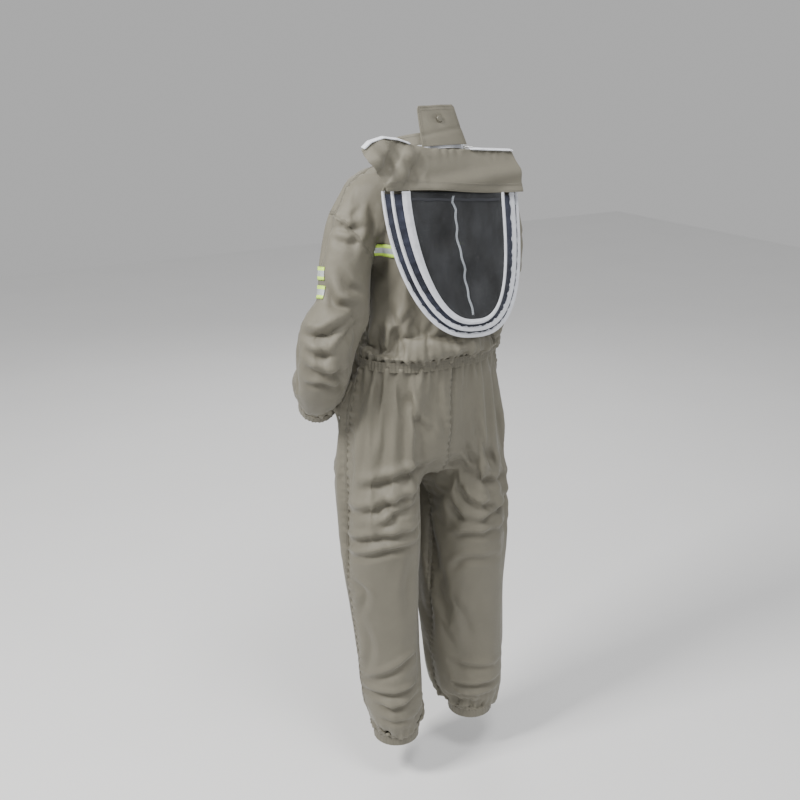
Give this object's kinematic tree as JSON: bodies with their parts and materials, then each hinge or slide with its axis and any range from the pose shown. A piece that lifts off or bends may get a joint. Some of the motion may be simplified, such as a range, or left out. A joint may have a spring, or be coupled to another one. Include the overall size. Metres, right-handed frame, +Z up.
{
  "type": "beekeeping suit",
  "caption": "One-piece beekeeping coverall with elastic waist, cuffs and hems, reflective bands, slanted pockets and a hooped mesh-veil hood thrown back from its stand collar.",
  "frame": {"origin": "centre of the collar's base, where the wearer's neck leaves the suit", "axes": "+Z up along the standing wearer, the wearer faces -Y, the wearer's left is +X"},
  "size_m": [0.5663, 0.2816, 1.4009],
  "materials": {
    "khaki_twill": "matte twill with a slight sheen",
    "white_binding": "matte woven tape",
    "white_zip_tape": "matte woven tape with coil teeth",
    "front_zip_tape": "matte woven tape with coil teeth",
    "veil_mesh": "open knitted mesh",
    "veil_seam_tape": "matte bias tape",
    "reflective_tape": "silver glass-bead tape with lime edges",
    "elastic": "ribbed elastic",
    "pocket_lining": "plain cotton",
    "boning": "satin",
    "zip_metal": "satin",
    "snap": "semi-gloss, cloth-coloured"
  },
  "bodies": {
    "suit": {"bodice_back": "khaki_twill", "bodice_front_left": "khaki_twill", "bodice_front_right": "khaki_twill", "sleeve_left": "khaki_twill", "sleeve_right": "khaki_twill", "cuff_left": "khaki_twill", "cuff_right": "khaki_twill", "waist_casing": "khaki_twill", "trouser_back_left": "khaki_twill", "trouser_back_right": "khaki_twill", "trouser_front_left": "khaki_twill", "trouser_front_right": "khaki_twill", "pocket_welt_left": "khaki_twill", "pocket_welt_right": "khaki_twill", "hem_left": "khaki_twill", "hem_right": "khaki_twill", "collar": "khaki_twill", "cuff_left_elastic": "elastic", "cuff_right_elastic": "elastic", "waist_elastic": "elastic", "hem_left_elastic": "elastic", "hem_right_elastic": "elastic", "pocket_bag_left": "pocket_lining", "pocket_bag_right": "pocket_lining", "back_band": "reflective_tape", "chest_band_left": "reflective_tape", "chest_band_right": "reflective_tape", "sleeve_band_upper_left": "reflective_tape", "sleeve_band_lower_left": "reflective_tape", "sleeve_band_upper_right": "reflective_tape", "sleeve_band_lower_right": "reflective_tape", "front_zip_tape_left": "front_zip_tape", "front_zip_tape_right": "front_zip_tape", "neck_zip_tape": "white_zip_tape"},
    "hood": {"hood_back": "khaki_twill", "hood_band": "khaki_twill", "hood_zip_tape_left": "white_zip_tape", "hood_zip_tape_right": "white_zip_tape", "outer_hoop_binding": "white_binding", "outer_hoop_rod": "boning", "outer_gusset": "veil_mesh"},
    "middle_hoop": {"middle_hoop_binding": "white_binding", "middle_hoop_rod": "boning", "inner_gusset": "veil_mesh"},
    "inner_hoop": {"inner_hoop_binding": "white_binding", "inner_hoop_rod": "boning", "veil_panel": "veil_mesh", "veil_centre_tape": "veil_seam_tape", "veil_cross_tape": "veil_mesh"},
    "nape_flap": {"nape_flap": "khaki_twill", "nape_snap": "snap"},
    "front_zip_slider": {"front_zip_slider": "zip_metal"},
    "front_zip_pull": {"front_zip_pull": "zip_metal"},
    "neck_zip_slider_left": {"neck_zip_slider_left": "zip_metal"},
    "neck_zip_pull_left": {"neck_zip_pull_left": "zip_metal"},
    "neck_zip_slider_right": {"neck_zip_slider_right": "zip_metal"},
    "neck_zip_pull_right": {"neck_zip_pull_right": "zip_metal"}
  },
  "joints": [
    {"name": "hood_swing", "type": "hinge", "parent": "suit", "child": "hood", "pos_m": [0, 0.07417, 0.02164], "axis": [0.9969, -0.0116, 0.0776], "range_deg": [0, 125]},
    {"name": "middle_hoop_fan", "type": "hinge", "parent": "hood", "child": "middle_hoop", "pos_m": [0.00629, 0.10596, -0.05445], "axis": [0.9969, -0.0116, 0.0776], "range_deg": [0, 25], "deforming": ["outer_gusset"]},
    {"name": "inner_hoop_fan", "type": "hinge", "parent": "middle_hoop", "child": "inner_hoop", "pos_m": [0.00629, 0.10596, -0.05445], "axis": [0.9969, -0.0116, 0.0776], "range_deg": [0, 25], "deforming": ["inner_gusset"]},
    {"name": "nape_flap_fold", "type": "hinge", "parent": "suit", "child": "nape_flap", "pos_m": [0, 0.07257, 0.02846], "axis": [1, 0, 0], "range_deg": [-90, 0]},
    {"name": "front_zip_travel", "type": "hinge", "parent": "suit", "child": "front_zip_slider", "pos_m": [0, 0.70459, -0.3115], "axis": [1, 0, 0], "range_deg": [0, 35]},
    {"name": "front_zip_pull_swing", "type": "hinge", "parent": "front_zip_slider", "child": "front_zip_pull", "pos_m": [0, -0.0939, -0.04343], "axis": [-1, 0, 0], "range_deg": [0, 150]},
    {"name": "neck_zip_travel_left", "type": "hinge", "parent": "suit", "child": "neck_zip_slider_left", "pos_m": [0, 0, 0], "axis": [0, 0.2924, -0.9563], "range_deg": [0, 106]},
    {"name": "neck_zip_pull_swing_left", "type": "hinge", "parent": "neck_zip_slider_left", "child": "neck_zip_pull_left", "pos_m": [0.07143, 0.03422, 0.01799], "axis": [0.4695, -0.8444, -0.2581], "range_deg": [0, 90]},
    {"name": "neck_zip_travel_right", "type": "hinge", "parent": "suit", "child": "neck_zip_slider_right", "pos_m": [0, 0, 0], "axis": [0, -0.2924, 0.9563], "range_deg": [0, 106]},
    {"name": "neck_zip_pull_swing_right", "type": "hinge", "parent": "neck_zip_slider_right", "child": "neck_zip_pull_right", "pos_m": [-0.07143, 0.03422, 0.01799], "axis": [0.4695, 0.8444, 0.2581], "range_deg": [0, 90]}
  ],
  "couplings": [
    {"joint": "middle_hoop_fan", "follows": "hood_swing", "ratio": 0.2},
    {"joint": "inner_hoop_fan", "follows": "hood_swing", "ratio": 0.2}
  ]
}
